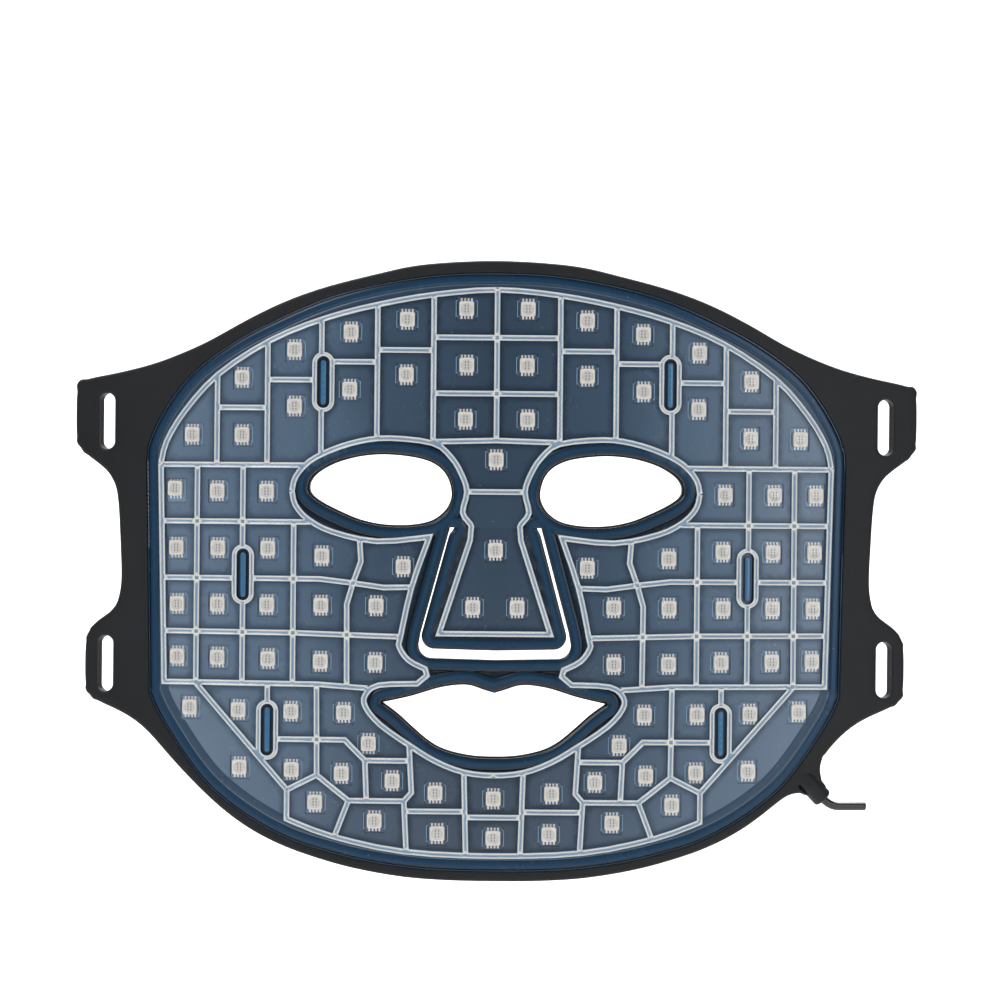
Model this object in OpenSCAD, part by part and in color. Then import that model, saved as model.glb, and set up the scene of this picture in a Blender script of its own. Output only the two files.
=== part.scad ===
// Flexible LED face mask: a soft silicone shell with a blue silicone face liner,
// a flex board of LEDs between them, a hinged nose flap, four strap ears and a cable.
// Frame: +Z up as worn, the LED side faces -Y, +X is the cable side, millimetres.
// Profiles are drawn flat in X and Z, then cut from a sheet that is bowed about Z.

/* [Sheet] */
// Thickness of the silicone shell at its border and ears
shell_t = 4.0; // [3.6:0.1:5]
// Thickness of the shell's back wall behind the flex board
back_wall_t = 1.9; // [1.6:0.1:2.2]
// Radius of the sheet's bow, measured at mid thickness
bow_r = 320; // [260:10:900]
// Half width of the flat bridge in the middle of the sheet
bridge_half = 26; // [25.5:0.5:30]

/* [Face liner] */
// How far the liner's front stands out from the shell's mid thickness
liner_front = 1.1; // [1:0.05:1.2]
// Width of the cell grid's ribs
rib_w = 2.0; // [1.4:0.1:2.4]
// Height of the grid's ribs above the liner
rib_h = 1.2; // [1:0.1:1.4]
// Width of the sealant joint between the shell and the liner
sealant_w = 0.6; // [0.4:0.1:0.9]

/* [LEDs] */
// Side of the square LED package
led_side = 5.0; // [4.4:0.1:5.2]
// Height of the LED package
led_h = 1.5; // [1.2:0.1:1.5]
// Radius of the round lens in the package
lens_r = 2.0; // [1.6:0.1:2.1]
// Distance between the centres of neighbouring leads
lead_pitch = 1.15; // [1:0.05:1.2]

/* [Strap ears] */
// Distance of the strap slots' centres from the middle of the mask
slot_x = 132.7; // [132:0.1:133.5]
// Height of the upper strap slots' centres
slot_upper_z = 154.7; // [153:0.1:157]
// Height of the lower strap slots' centres
slot_lower_z = 72.1; // [71:0.1:74]
// Width of a strap slot
slot_w = 5.3; // [4:0.1:5.6]
// Length of a strap slot from end to end
slot_len = 19; // [15:0.5:20]

/* [Nose flap] */
// Height of the flap's living hinge
nose_hinge_z = 119; // [118.5:0.1:119.5]
// Half width of the flap at its hinge
flap_top_half = 13.9; // [13.2:0.1:14.2]
// Half width of the flap near its lower edge
flap_low_half = 23.4; // [22.5:0.1:23.8]
// Width of the slot along the flap's sides
flap_gap = 1.6; // [1:0.1:1.8]

/* [Cable] */
// Radius of the cable jacket
cable_r = 1.45; // [1.2:0.05:1.6]
// Radius of the moulded cable boot
boot_r = 3.4; // [3.2:0.1:3.8]
// Radius of one insulated core
core_r = 0.5; // [0.4:0.05:0.55]

/* [Hidden] */

$fn = 48;
fit_gap = 0.05;
half_t = shell_t / 2;
recess_y = half_t - back_wall_t;
board_t = 0.25;
board_back = recess_y - fit_gap;
board_front = board_back - board_t;
liner_back = board_front - fit_gap;
grid_gap = 0.02;
ear_edge_x = 143.6;
mask_top = 212;

// Middle surface of the bowed sheet and its slope, at a distance x from the middle
function past_bridge(x) = max(0, abs(x) - bridge_half);
function bow_y(x) = bow_r - sqrt(pow(bow_r, 2) - pow(past_bridge(x), 2));
function bow_tilt(x) = sign(x) * asin(past_bridge(x) / bow_r);

// The origin is the bottom centre of the whole mask's box
front_y = -liner_front - rib_h;
ear_back_y = bow_r - sqrt(pow(bow_r - half_t, 2) - pow(ear_edge_x - bridge_half, 2));
origin_y = (front_y + ear_back_y) / 2;

// Strap ear hinge: a knuckle as thick as the sheet turns in a groove
ear_hinge_x = 128.9;
ear_knuckle_r = half_t - 0.1;
ear_groove_r = half_t + 0.1;
ear_upper_z = [131.2, 176];
ear_lower_z = [50, 92.2];

// Nose flap hinge: the same joint in the thinner back wall
nose_knuckle_y = recess_y + back_wall_t / 2;
nose_knuckle_r = back_wall_t / 2 - 0.05;
nose_groove_r = back_wall_t / 2 + 0.1;
nose_liner_gap = 0.45;
flap_low_z = 84;
flap_bottom_z = 78.5;
flap_bottom_gap = 3;

// Cable: its axis leaves the lower right edge at 45 degrees below horizontal
cable_x = 104;
cable_z = 36.8;
cable_drop = 45;
cable_y = 0.3;
boot_start = 3;
boot_end = 12.2;
swivel = boot_end + 0.5;
jacket_start = 3.2;
grommet_start = 4;
grommet_end = 11;
bay_start = -19;
bay_end = -3.5;
bay_w = 12;
bay_depth = 1.3;
core_y = recess_y + 0.62;
core_offset = 0.58;
core_gap = 0.03;
core_start = -12;
tunnel = [2.4, 1.15];
resistor = [2, 1.25, 0.5];
resistor_x = bay_start + 2.6;
resistor_step = 2.8;
potting = [4.5, 6, 1.22];
potting_groove = [6, 2.3, 1.17];
potting_at = [bay_end - 2.8, 0];
cable_bend_r = 7.5;
cable_run = 9.2;

// Smooth curve through points, with a neighbour before the first and after the last
function blend(a, b, c, d, t) = 0.5 * (
    2 * b + (c - a) * t
    + (2 * a - 5 * b + 4 * c - d) * pow(t, 2)
    + (3 * b - a - 3 * c + d) * pow(t, 3)
);
function smooth(p, before, after, n = 5) = concat(
    [for (i = [0:len(p) - 2]) for (k = [0:n - 1])
        blend(i == 0 ? before : p[i - 1], p[i], p[i + 1], i == len(p) - 2 ? after : p[i + 2], k / n)],
    [p[len(p) - 1]]
);
function flip(q) = [-q[0], q[1]];
function first(p) = p[0];
function last(p) = p[len(p) - 1];
// Curves that start or end on the middle line cross it level; others end straight
function from_middle(p) = smooth(p, flip(p[1]), last(p));
function to_middle(p) = smooth(p, first(p), flip(p[len(p) - 2]));
function free_curve(p) = smooth(p, first(p), last(p));
// Coarser curves for the ribs, and a join that drops the repeated end point
function rib_curve(p, before, after) = smooth(p, before, after, 3);
function rib_free(p) = rib_curve(p, first(p), last(p));
function rib_to_middle(p) = rib_curve(p, first(p), flip(p[len(p) - 2]));
function tail(p) = [for (i = [1:len(p) - 1]) p[i]];
// Carries on a right-hand half outline or line with its mirror image
function mirrored(p) = concat(p, [for (i = [len(p) - 1:-1:0]) if (p[i][0] > 0.01) flip(p[i])]);
function both_sides(p) = concat(p, [for (q = p) flip(q)]);

// Outer edge of the shell, from the forehead down the side to the chin
shell_top = [
    [0, 209.8], [25.6, 208.3], [40, 205.2], [58, 200.6], [72.4, 195.4], [86, 188.7],
    [97.5, 182.2], [108.5, 177.3], [118, 173.9], [130, 171], [140, 169.2]
];
upper_ear = [[ear_edge_x, 168.6], [ear_edge_x, 147], [141.4, 143.9], [135.4, 140.4]];
shell_side = [
    [132.6, 138.2], [130.4, 135], [129.2, 131], [128.4, 125], [127.9, 115], [127.3, 103],
    [127.5, 97.5], [128.7, 92.8], [131.2, 89.2], [135.4, 87.2]
];
lower_ear = [[138.2, 84.6], [139.8, 81.4], [139.8, 62.6], [137.4, 59.8]];
shell_bottom = [
    [132.8, 58.2], [126.1, 55.3], [118.7, 50.3], [109.8, 40.5], [101.7, 32.2], [93.2, 24.4],
    [83.6, 17.4], [73.1, 12], [62.6, 8.2], [48.6, 4.3], [31.3, 1.3], [16, 0.2], [0, 0]
];
shell_half = concat(
    from_middle(shell_top), upper_ear, free_curve(shell_side), lower_ear, to_middle(shell_bottom)
);
// Flare of the shell's edge that carries the cable boot
boot_flare = concat(
    free_curve([[120, 51.5], [115.4, 47.4], [111.8, 42.8], [110.7, 39], [111.2, 35.6], [113.2, 32.4]]),
    free_curve([[108.9, 28.1], [105.6, 29.9], [102, 30.4], [98.8, 29], [95.4, 26]]),
    [[100, 45]]
);

// Edge of the recess that holds the liner
recess_top = [
    [0, 205.7], [25.5, 204.2], [54.4, 197.9], [79.2, 187.3], [93.2, 179.2], [103.4, 171.2],
    [110.5, 162.5], [115.9, 153.3], [118.6, 146.4]
];
recess_bottom = [
    [117.5, 62.6], [114, 55], [104.6, 40.5], [95.8, 30.2], [83.6, 21], [69.7, 13.7],
    [55.8, 9.3], [42.2, 6.2], [23.5, 3.8], [0, 3.2]
];
recess_side = [[119, 141.5], [118.3, 110], [117.5, 66]];
recess_half = concat(from_middle(recess_top), recess_side, to_middle(recess_bottom));

// Openings for the eyes and the mouth
eye_upper = [
    [63.2, 132.6], [62.3, 135.5], [59.2, 138.4], [53.4, 141.3], [45, 143.4], [36, 143.9],
    [25.9, 142.7], [19.9, 140.3], [16.4, 136.4], [15, 131]
];
eye_lower = [
    [15, 131], [16, 127], [18.6, 123.8], [22.6, 121.5], [29.2, 120.3], [38, 120.4],
    [46, 122], [53.4, 125], [58.8, 127.7], [62.2, 130.2], [63.2, 132.6]
];
eye_edge = concat(
    smooth(eye_upper, eye_lower[len(eye_lower) - 2], eye_lower[1]),
    smooth(eye_lower, eye_upper[len(eye_upper) - 2], eye_upper[1])
);
lip_upper = [[0, 63.6], [3.4, 64.6], [9.4, 66.3], [18, 65.4], [28, 62.4], [37.6, 60.2]];
lip_lower = [[37.6, 60.2], [32.6, 56.6], [27.2, 51.8], [21.6, 47.2], [16, 44.4], [8, 42.6], [0, 42.2]];
mouth_half = concat(free_curve(lip_upper), to_middle(lip_lower));

// Rib centre lines, right-hand half
ring_top = rib_curve([
    [0, 199.9], [20.6, 198.2], [39.8, 194.7], [58.3, 189.8], [76.8, 182.3], [94.5, 170.7],
    [105.7, 158.4], [112, 148], [113.9, 140.4]
], [-20.6, 198.2], [113.9, 140.4]);
ring_low = concat([[113.9, 140.4], [112.2, 66.3], [101.5, 66.3], [69.9, 30.3]],
    rib_to_middle([[69.9, 20.4], [54.4, 14.8], [30.3, 9.9], [0, 8.6]]));
eye_top_rib = rib_free([
    [69, 131.4], [67.8, 136.2], [63.2, 141.4], [55.6, 145.4], [46, 148.4], [36, 149.5], [21.4, 147.9],
    [15.2, 143.2], [11.6, 137.4], [9.8, 131.5], [11.2, 124.6], [8.5, 120.6], [8.2, nose_hinge_z]
]);
eye_low_rib = concat(
    rib_free([[69, 131.4], [67.8, 126.6], [63.4, 121.8], [55, 117.6], [40, 114.6], [22.4, 116.2]]),
    tail(rib_free([[22.4, 116.2], [28.2, 99.3], [31.8, 82.6], [32.2, 79], [29, 74.5], [23.4, 71.6]])),
    [[22.8, 69.4]],
    rib_to_middle([
        [26.1, 66.6], [39, 66], [43.6, 62.6], [43.4, 58.5], [38.4, 52.6], [28.4, 45.7],
        [19.6, 40.4], [10, 36.8], [0, 35.8]
    ])
);
flap_rib = [[8.2, nose_hinge_z], [8.6, 115.2], [18.8, 83.6]];
straight_ribs = [
    [[94.7, 140.1], [94.7, 170.6]], [[77.6, 140.1], [77.6, 182]],
    [[59.3, 143.4], [59.3, 158.8]], [[59.3, 177.8], [59.3, 189.6]],
    [[40.4, 149], [40.4, 194.6]], [[21.4, 147.9], [21.4, 198.1]],
    [[0, 183.7], [21.4, 183.7]], [[21.4, 179.3], [40.4, 179.3]], [[40.4, 175.2], [55.4, 175.2]],
    [[62, 169], [77.6, 169]], [[0, 164.8], [21.4, 164.8]], [[77.6, 159.5], [94.7, 159.5]],
    [[0, 149], [21.4, 148.4]], [[64, 140.1], [113.9, 140.1]], [[0, 131.6], [9.8, 131.6]],
    [[101.3, 66.3], [101.3, 140.1]], [[85.7, 112.6], [85.7, 140.1]], [[85.5, 66], [85.5, 93.4]],
    [[68.3, 66], [68.3, 121]], [[45.9, 114.8], [45.4, 107.8], [48, 100.6], [50.1, 93.2], [49.9, 66]],
    [[62.6, 120.9], [113.4, 120.9]], [[89, 101.7], [112.9, 101.7]],
    [[82.2, 101.7], [59.2, 101.7], [47.9, 100.4], [37.7, 99], [28.2, 99.2]],
    [[31.8, 82.4], [68, 83.4], [112.6, 83.6]], [[42.6, 64.9], [60, 66.1], [101.5, 66.3]],
    [[76.8, 66.1], [76.8, 60.4]], [[60.1, 66], [59.8, 35.4], [69.9, 30.3]],
    [[73.2, 47.4], [50.4, 47.4], [43.5, 40.5], [28.6, 40.5]],
    [[28.6, 45.8], [27.7, 29.8], [30.2, 26.9], [29.3, 9.9]],
    [[59.8, 35.4], [49, 26.9], [53.6, 14.8]], [[49, 26.9], [30.2, 26.9]],
    [[43.5, 40.5], [42.9, 26.9]], [[30, 23.5], [9.8, 23.5]], [[10, 36.8], [9.2, 8.9]],
    [[0, 21.6], [9.6, 21.6]]
];
// The rib down the middle of the forehead
middle_rib = [[0, 148.9], [0, 199.9]];

// Obround bonding studs, and the ring rib round each
studs = both_sides([[58.7, 168.3], [85.5, 103], [76.8, 50.5]]);
stud_core = [1.9, 15.5];
stud_pit = [4.2, 17.5];
stud_ring = [7.7, 20.5];

// LED centres: mirrored pairs, single ones on the middle line, and those on the nose flap
led_pairs = [
    [10.4, 193.5], [30.4, 189.7], [49.3, 185.3], [68.3, 179.2],
    [10.2, 174.4], [30.6, 171], [49.6, 165.9], [68.2, 160.1], [86, 169.7],
    [10.5, 156.1], [85.9, 150.3], [102.9, 150.3],
    [77.4, 131.2], [94.2, 131.2], [108.4, 131.2],
    [31.1, 106.1], [58.5, 109.5], [76.8, 111.9], [93.8, 111.9], [108, 111.9],
    [40.1, 92.8], [58.7, 92.8], [77, 92.8], [93.8, 92.8], [107.6, 92.8],
    [40.3, 73.6], [58.7, 73.8], [76.5, 74.5], [93.7, 74.8], [107.4, 75],
    [50.7, 56.6], [68.5, 56.8], [86.4, 57.1], [103, 57.8],
    [42.3, 46.2], [34.2, 33.7], [51.3, 36], [68.2, 37.1], [85.9, 37.7],
    [19.7, 29.7], [40.1, 20.1], [60.2, 26.2], [18.9, 16]
];
leds = concat(both_sides(led_pairs), [[0, 142.5], [0, 27.9], [0, 14.6]]);
nose_leds = [[0, 111.9], [7.5, 92.5], [-7.5, 92.5]];
window = [6.6, 7.9];
leads_a_side = 4;
lead_w = 0.62;
lead_reach = 1.0;
lead_t = 0.2;
lead_back = board_front - fit_gap;
led_back = lead_back - lead_t - 0.02;
led_front = led_back - led_h;
cup_depth = 0.5;

// ---- sheet ----

// Plan view of the bowed sheet between two depths, a nearer the LED side than b
module plan(a, b) {
    translate([-bridge_half, a])
        square([2 * bridge_half, b - a]);
    for (side = [-1, 1])
        translate([side * bridge_half, bow_r])
            intersection() {
                difference() {
                    circle(r = bow_r - a, $fn = 360);
                    circle(r = bow_r - b, $fn = 360);
                }
                translate([side > 0 ? 0 : -bow_r, -bow_r - 10])
                    square([bow_r, bow_r / 2]);
            }
}

module layer(a, b) {
    translate([0, 0, -20])
        linear_extrude(height = mask_top + 40)
            plan(a, b);
}

// A flat profile in X and Z as a long bar along Y
module bar() {
    translate([0, 60, 0])
        rotate([90, 0, 0])
            linear_extrude(height = 120)
                children();
}

module bowed(a, b) {
    intersection() {
        layer(a, b);
        bar() children();
    }
}

module in_frame() {
    translate([0, -origin_y, 0])
        children();
}

module on_sheet(p) {
    translate([p[0], bow_y(p[0]), p[1]])
        rotate([0, 0, bow_tilt(p[0])])
            children();
}

module obround(size, facets = 48) {
    for (end = [-1, 1])
        translate([0, end * (size[1] - size[0]) / 2])
            circle(d = size[0], $fn = facets);
    square([size[0], size[1] - size[0]], center = true);
}

module box_on(size, y, centre = [0, 0]) {
    translate([centre[0] - size[0] / 2, y, centre[1] - size[1] / 2])
        cube([size[0], size[2], size[1]]);
}

// ---- flat profiles ----

module shell_outline() {
    offset(r = 2.6)
        offset(delta = -2.6)
            polygon(mirrored(shell_half));
    polygon(boot_flare);
}

module recess_outline() {
    polygon(mirrored(recess_half));
}

module openings(grow = 0) {
    offset(r = grow) {
        for (side = [0, 1])
            mirror([side, 0])
                polygon(eye_edge);
        polygon(mirrored(mouth_half));
    }
}

// Nose flap, and the larger opening that it swings in
module flap_outline(grow = 0, bottom = 0, r = 4.4) {
    offset(r = r)
        offset(delta = -r)
            polygon(mirrored([
                [flap_top_half + grow - 6, nose_hinge_z + 20],
                [flap_top_half + grow, nose_hinge_z], [flap_low_half + grow, flap_low_z],
                [flap_low_half + grow + 1.4, flap_bottom_z - bottom], [0, flap_bottom_z - bottom - 0.6]
            ]));
}

module below(z) {
    intersection() {
        children();
        translate([-60, z - 80])
            square([120, 80]);
    }
}

module nose_opening(top) {
    below(top)
        flap_outline(flap_gap, flap_bottom_gap);
}

// Outline of a rib along a line of points, mitred at each bend
function across(p, i) = let (step = p[i + 1] - p[i]) [-step[1], step[0]] / norm(step);
function mitre(p, i) = let (
    before = across(p, max(i - 1, 0)),
    after = across(p, min(i, len(p) - 2))
) (before + after) / (1 + before * after);
function rib_edge(p, d) = [for (i = [0:len(p) - 1]) p[i] + d * mitre(p, i)];
function backwards(p) = [for (i = [len(p) - 1:-1:0]) p[i]];

module path(points) {
    polygon(concat(rib_edge(points, rib_w / 2), backwards(rib_edge(points, -rib_w / 2))));
}

module stud_shapes(size, facets = 24) {
    for (p = studs)
        translate(p)
            obround(size, facets);
}

module cell_ribs() {
    offset(delta = 0.01) {
        for (side = [0, 1])
            mirror([side, 0]) {
                path(ring_top);
                path(ring_low);
                path(eye_top_rib);
                path(eye_low_rib);
                for (rib = straight_ribs)
                    path(rib);
            }
        path(middle_rib);
        difference() {
            stud_shapes(stud_ring);
            stud_shapes(stud_pit);
        }
    }
}

module flap_ribs() {
    path(mirrored(flap_rib));
}

module led_windows(places) {
    for (p = places)
        translate(p)
            square(window, center = true);
}

// ---- hinges ----

// Plan view of everything past a strap ear's hinge line, in the hinge's own frame
module past_hinge() {
    translate([0, -20])
        square([40, 40]);
}

module at_ear_hinge(side) {
    translate([side * ear_hinge_x, bow_y(ear_hinge_x)])
        rotate(side > 0 ? bow_tilt(ear_hinge_x) : 180 - bow_tilt(ear_hinge_x))
            children();
}

module ear_cut(side, z) {
    translate([0, 0, z[0]])
        linear_extrude(height = z[1] - z[0])
            at_ear_hinge(side) {
                past_hinge();
                circle(r = ear_groove_r, $fn = 64);
            }
}

module strap_ear(side, z, slot_z) {
    difference() {
        intersection() {
            bar() shell_outline();
            translate([0, 0, z[0] + 0.05])
                linear_extrude(height = z[1] - z[0] - 0.1) {
                    intersection() {
                        plan(-half_t, half_t);
                        at_ear_hinge(side) past_hinge();
                    }
                    at_ear_hinge(side) circle(r = ear_knuckle_r, $fn = 64);
                }
        }
        // strap slot, cut straight along Y with true half-round ends
        for (end = [-1, 1])
            translate([side * slot_x, 80, slot_z + end * (slot_len - slot_w) / 2])
                rotate([90, 0, 0])
                    cylinder(d = slot_w, h = 120);
        translate([side * slot_x - slot_w / 2, -40, slot_z - (slot_len - slot_w) / 2])
            cube([slot_w, 120, slot_len - slot_w]);
    }
}

module nose_hinge_rod(r, half_len) {
    translate([-half_len, nose_knuckle_y, nose_hinge_z])
        rotate([0, 90, 0])
            cylinder(r = r, h = 2 * half_len);
}

// ---- cable ----

// Frame of the cable: +X along its axis out of the mask, Y through the sheet
module cable_frame() {
    on_sheet([cable_x, cable_z])
        rotate([0, cable_drop, 0])
            children();
}

module cable_rod(r, from, to, y = cable_y, side = 0) {
    translate([from, y, side])
        rotate([0, 90, 0])
            cylinder(r = r, h = to - from);
}

// The cable past its boot: a bend up to level, then a short straight run
module tail_sweep(r, side, facets = 48) {
    translate([swivel, cable_y, cable_bend_r]) {
        rotate([90, 0, 0])
            rotate([0, 0, -90])
                rotate_extrude(angle = cable_drop)
                    translate([cable_bend_r - side, 0])
                        circle(r = r, $fn = facets);
        rotate([0, -cable_drop, 0])
            translate([0, 0, -cable_bend_r])
                rotate([0, 90, 0])
                    translate([-side, 0, 0])
                        cylinder(r = r, h = cable_run, $fn = facets);
    }
}

module tail_core(side) {
    in_frame()
        cable_frame()
            difference() {
                tail_sweep(core_r, side, 96);
                translate([swivel, cable_y, 0])
                    sphere(r = 1.0);
            }
}

module cable_core(side) {
    in_frame()
        cable_frame()
            cable_rod(core_r, core_start, boot_end - 2, core_y, side);
}

// ---- parts of the mask body ----

module wire_tunnel() {
    box_on(
        [jacket_start - bay_end + 1, tunnel[0], tunnel[1]],
        recess_y + fit_gap,
        [(jacket_start + bay_end - 1) / 2, 0]
    );
}

module wiring_bay() {
    box_on(
        [bay_end - bay_start, bay_w, bay_depth + 0.3],
        recess_y - 0.3,
        [(bay_start + bay_end) / 2, 0]
    );
}

module outer_shell() {
    color([0.17, 0.18, 0.19])
        in_frame()
            difference() {
                union() {
                    bowed(-half_t, half_t) shell_outline();
                    cable_frame() cable_rod(boot_r, boot_start, boot_end);
                }
                bowed(-half_t - 5, recess_y) recess_outline();
                bar() openings();
                bar() nose_opening(nose_hinge_z);
                nose_hinge_rod(nose_groove_r, flap_top_half + flap_gap);
                for (side = [-1, 1]) {
                    ear_cut(side, ear_upper_z);
                    ear_cut(side, ear_lower_z);
                }
                cable_frame() {
                    cable_rod(cable_r + fit_gap, jacket_start - 0.1, boot_end + 1);
                    cable_rod(cable_r + 0.9, grommet_start - 0.1, grommet_end + 0.1);
                    wire_tunnel();
                    wiring_bay();
                }
            }
}

module edge_sealant() {
    color([0.1, 0.22, 0.3])
        in_frame()
            bowed(-liner_front + 0.2, board_back)
                difference() {
                    offset(delta = -fit_gap) recess_outline();
                    offset(delta = -fit_gap - sealant_w) recess_outline();
                }
}

module face_liner() {
    color([0.2, 0.33, 0.42])
        in_frame()
            bowed(-liner_front, liner_back)
                difference() {
                    offset(delta = -2 * fit_gap - sealant_w) recess_outline();
                    openings(0.6);
                    nose_opening(nose_hinge_z + nose_liner_gap);
                    stud_shapes(stud_pit);
                    led_windows(leds);
                }
}

module cell_grid() {
    color([0.75, 0.8, 0.82])
        in_frame()
            bowed(-liner_front - rib_h, -liner_front - grid_gap)
                difference() {
                    cell_ribs();
                    nose_opening(nose_hinge_z + nose_liner_gap);
                }
}

module led_board() {
    color([0.75, 0.45, 0.2])
        in_frame()
            bowed(board_front, board_back)
                difference() {
                    offset(delta = -2.6) recess_outline();
                    openings(1.6);
                    offset(delta = 1.2) nose_opening(nose_hinge_z);
                    stud_shapes(stud_core + [0.6, 0.6]);
                }
}

module bond_studs() {
    color([0.2, 0.4, 0.55])
        in_frame()
            for (p = studs)
                on_sheet(p)
                    translate([0, recess_y - 0.04, 0])
                        rotate([90, 0, 0])
                            linear_extrude(height = liner_front + rib_h / 2 + recess_y)
                                obround(stud_core);
}

// ---- LEDs ----

module led_body_set(places) {
    color([0.92, 0.89, 0.83])
        for (p = places)
            on_sheet(p)
                difference() {
                    box_on([led_side, led_side, led_h], led_front);
                    translate([0, led_front + cup_depth, 0])
                        rotate([90, 0, 0])
                            cylinder(r = lens_r + 0.05, h = 2);
                }
}

module led_lens_set(places) {
    color([0.82, 0.82, 0.78])
        for (p = places)
            on_sheet(p)
                translate([0, led_front + cup_depth - 0.02, 0])
                    rotate([90, 0, 0])
                        cylinder(r = lens_r, h = cup_depth - 0.04);
}

module lead_comb() {
    square([led_side - 0.8, led_side - 0.8], center = true);
    for (i = [0:leads_a_side - 1])
        translate([(i - (leads_a_side - 1) / 2) * lead_pitch, 0])
            square([lead_w, led_side + 2 * lead_reach], center = true);
}

module led_lead_set(places) {
    color([0.85, 0.85, 0.87])
        for (p = places)
            on_sheet(p)
                translate([0, lead_back, 0])
                    rotate([90, 0, 0])
                        linear_extrude(height = lead_t)
                            lead_comb();
}

module led_bodies() {
    in_frame() led_body_set(leds);
}

module led_lenses() {
    in_frame() led_lens_set(leds);
}

module led_leads() {
    in_frame() led_lead_set(leds);
}

// ---- wiring bay behind the flex board ----

module current_resistors() {
    color([0.1, 0.1, 0.1])
        in_frame()
            cable_frame()
                for (row = [0:1]) for (side = [-1, 1])
                    box_on(resistor, recess_y + 0.3, [resistor_x + resistor_step * row, side * 3.4]);
}

module solder_joints() {
    color([0.75, 0.76, 0.78])
        in_frame()
            cable_frame()
                for (side = [-1, 1])
                    translate([core_start - 0.75, recess_y + 0.12, side * core_offset * 1.2])
                        rotate([-90, 0, 0])
                            cylinder(r1 = 0.68, r2 = 0.4, h = 0.8);
}

module wire_potting() {
    color([0.85, 0.85, 0.8])
        in_frame()
            cable_frame()
                difference() {
                    box_on(potting, recess_y + 0.07, potting_at);
                    box_on(potting_groove, recess_y, potting_at);
                }
}

module cable_grommet() {
    color([0.12, 0.12, 0.13])
        in_frame()
            cable_frame()
                difference() {
                    cable_rod(cable_r + 0.85, grommet_start, grommet_end);
                    cable_rod(cable_r + fit_gap, grommet_start - 1, grommet_end + 1);
                }
}

module cable_jacket() {
    color([0.08, 0.08, 0.09])
        in_frame()
            cable_frame()
                difference() {
                    cable_rod(cable_r, jacket_start, swivel);
                    for (side = [-core_offset, core_offset])
                        cable_rod(core_r + core_gap, jacket_start - 1, boot_end + 1, core_y, side);
                    translate([swivel, cable_y, 0])
                        sphere(r = cable_r + 0.08);
                }
}

module cable_core_red() {
    color([0.7, 0.1, 0.1])
        cable_core(core_offset);
}

module cable_core_black() {
    color([0.05, 0.05, 0.05])
        cable_core(-core_offset);
}

module tail_jacket() {
    color([0.08, 0.08, 0.09])
        in_frame()
            cable_frame()
                difference() {
                    union() {
                        tail_sweep(cable_r, 0);
                        translate([swivel, cable_y, 0])
                            sphere(r = cable_r);
                    }
                    for (side = [-1, 1])
                        tail_sweep(core_r + core_gap, side * core_offset);
                }
}

module tail_core_red() {
    color([0.7, 0.1, 0.1])
        tail_core(core_offset);
}

module tail_core_black() {
    color([0.05, 0.05, 0.05])
        tail_core(-core_offset);
}

// ---- nose flap ----

module nose_flap_shell() {
    color([0.17, 0.18, 0.19])
        in_frame() {
            bowed(recess_y, half_t)
                below(nose_hinge_z) flap_outline();
            nose_hinge_rod(nose_knuckle_r, flap_top_half);
        }
}

module nose_flap_liner() {
    color([0.2, 0.33, 0.42])
        in_frame()
            bowed(-liner_front, liner_back)
                difference() {
                    below(nose_hinge_z - nose_liner_gap) flap_outline();
                    led_windows(nose_leds);
                }
}

module nose_cell_grid() {
    color([0.75, 0.8, 0.82])
        in_frame()
            bowed(-liner_front - rib_h, -liner_front - grid_gap)
                below(nose_hinge_z - nose_liner_gap)
                    flap_ribs();
}

module nose_flap_board() {
    color([0.75, 0.45, 0.2])
        in_frame()
            bowed(board_front, board_back)
                below(nose_hinge_z - 1.2)
                    offset(delta = -2) flap_outline();
}

module nose_led_bodies() {
    in_frame() led_body_set(nose_leds);
}

module nose_led_lenses() {
    in_frame() led_lens_set(nose_leds);
}

module nose_led_leads() {
    in_frame() led_lead_set(nose_leds);
}

// ---- strap ears ----

module ear(side, z, slot_z) {
    color([0.17, 0.18, 0.19])
        in_frame()
            strap_ear(side, z, slot_z);
}

module strap_ear_upper_left() {
    ear(-1, ear_upper_z, slot_upper_z);
}

module strap_ear_upper_right() {
    ear(1, ear_upper_z, slot_upper_z);
}

module strap_ear_lower_left() {
    ear(-1, ear_lower_z, slot_lower_z);
}

module strap_ear_lower_right() {
    ear(1, ear_lower_z, slot_lower_z);
}

outer_shell();
edge_sealant();
face_liner();
cell_grid();
led_board();
bond_studs();
led_bodies();
led_lenses();
led_leads();
current_resistors();
solder_joints();
wire_potting();
cable_grommet();
cable_jacket();
cable_core_red();
cable_core_black();
nose_flap_shell();
nose_flap_liner();
nose_cell_grid();
nose_flap_board();
nose_led_bodies();
nose_led_lenses();
nose_led_leads();
strap_ear_upper_left();
strap_ear_upper_right();
strap_ear_lower_left();
strap_ear_lower_right();
tail_jacket();
tail_core_red();
tail_core_black();
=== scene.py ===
import math

import bmesh
import bpy
import numpy as np
from mathutils import Matrix, Vector
from mathutils.bvhtree import BVHTree
from mathutils.geometry import convex_hull_2d, delaunay_2d_cdt


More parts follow.
